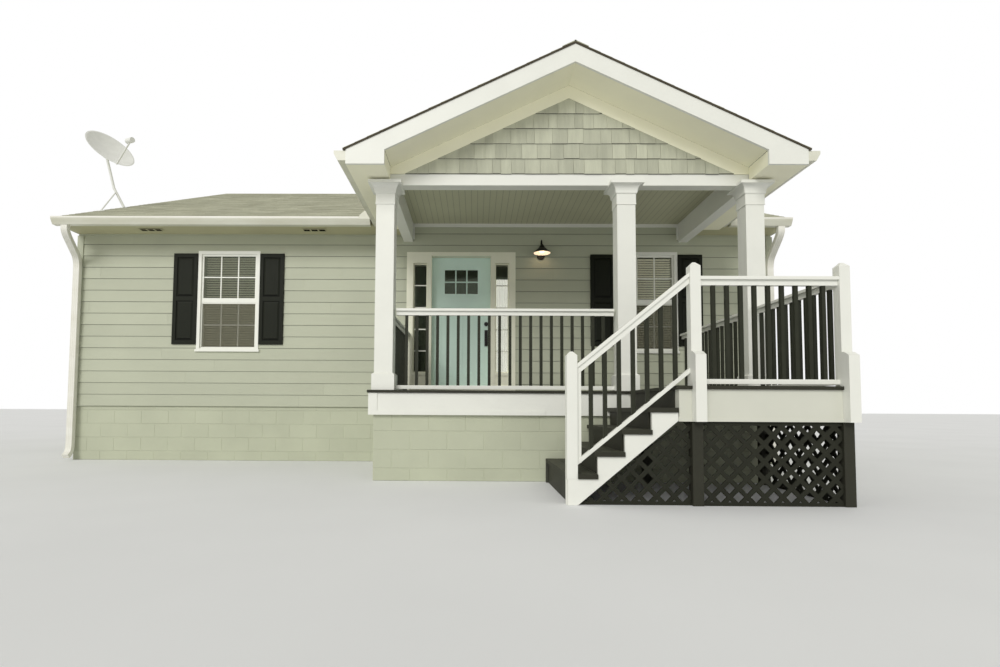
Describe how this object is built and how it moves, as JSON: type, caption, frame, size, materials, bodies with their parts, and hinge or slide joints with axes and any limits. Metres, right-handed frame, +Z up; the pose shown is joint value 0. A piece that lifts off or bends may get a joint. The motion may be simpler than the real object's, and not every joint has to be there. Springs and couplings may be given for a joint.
{
  "type": "single-storey bungalow",
  "caption": "Single-storey bungalow with side gables, a gabled front porch on square columns, a side deck with steps, and a hinged front door.",
  "frame": {"origin": "on the ground, on the underside of the front foundation wall at the middle of the house's width", "axes": "+X to the right along the front seen from outside, +Y from the front door into the house, +Z up"},
  "size_m": [10.8586, 14.255, 5.9939],
  "materials": {
    "block": "painted masonry block, rough",
    "floor_boards": "dark stained boards, matt",
    "inner_boards": "plain boards, matt",
    "siding": "grey green lap siding, satin",
    "trim": "off white trim, satin",
    "shingle": "grey asphalt shingles, rough",
    "gutter": "white enamelled sheet, satin",
    "shake": "grey green shingle siding, satin",
    "dark_rail": "white rails, satin",
    "lattice": "dark lattice, matt",
    "window_white": "white window frames, satin",
    "glass": "clear glass, polished",
    "shutter": "near black shutters, satin",
    "door_paint": "pale sea green door, satin",
    "door_metal": "dark bronze fittings, satin",
    "lamp_metal": "black enamel, satin",
    "bulb": "frosted warm bulb",
    "dish": "grey painted steel, satin"
  },
  "bodies": {
    "house": {"house_foundation": "block", "house_floor": "inner_boards", "front_wall_left": "siding", "front_wall_right": "siding", "front_wall_at_door": "siding", "left_wall": "siding", "right_wall": "siding", "back_wall": "siding", "corner_boards": "siding", "frieze_boards": "trim", "house_ceiling": "trim", "main_roof_front": "shingle", "main_roof_back": "shingle", "eaves": "trim", "gutters": "gutter", "downspouts": "gutter", "porch_foundation": "block", "porch_band": "trim", "porch_floor": "floor_boards", "porch_columns": "trim", "porch_beams": "trim", "porch_ceiling": "trim", "gable_wall": "shake", "gable_trim": "trim", "rake_boards": "trim", "porch_eaves": "trim", "porch_roof": "shingle", "deck_floor": "floor_boards", "deck_rim": "trim", "deck_supports": "floor_boards", "deck_posts": "trim", "newel_post": "trim", "stair_stringers": "trim", "stair_treads": "floor_boards", "stair_risers": "floor_boards", "bay_railing": "dark_rail", "side_railing": "dark_rail", "deck_railing": "dark_rail", "deck_side_railing": "dark_rail", "stair_railing": "dark_rail", "deck_lattice": "lattice", "side_lattice": "lattice", "stair_lattice": "lattice", "window_frames": "window_white", "window_glass": "glass", "shutters": "shutter", "door_frame": "window_white", "porch_light": "lamp_metal", "light_bulb": "bulb", "roof_dish": "dish"},
    "door_leaf": {"front_door": "door_paint", "door_glass": "glass", "door_handle": "door_metal", "door_hinges": "door_metal"}
  },
  "joints": [
    {"name": "front_door_hinge", "type": "hinge", "parent": "house", "child": "door_leaf", "pos_m": [0.126, 0.039, 1.087], "axis": [0, 0, 1], "range_deg": [0, 95]}
  ]
}
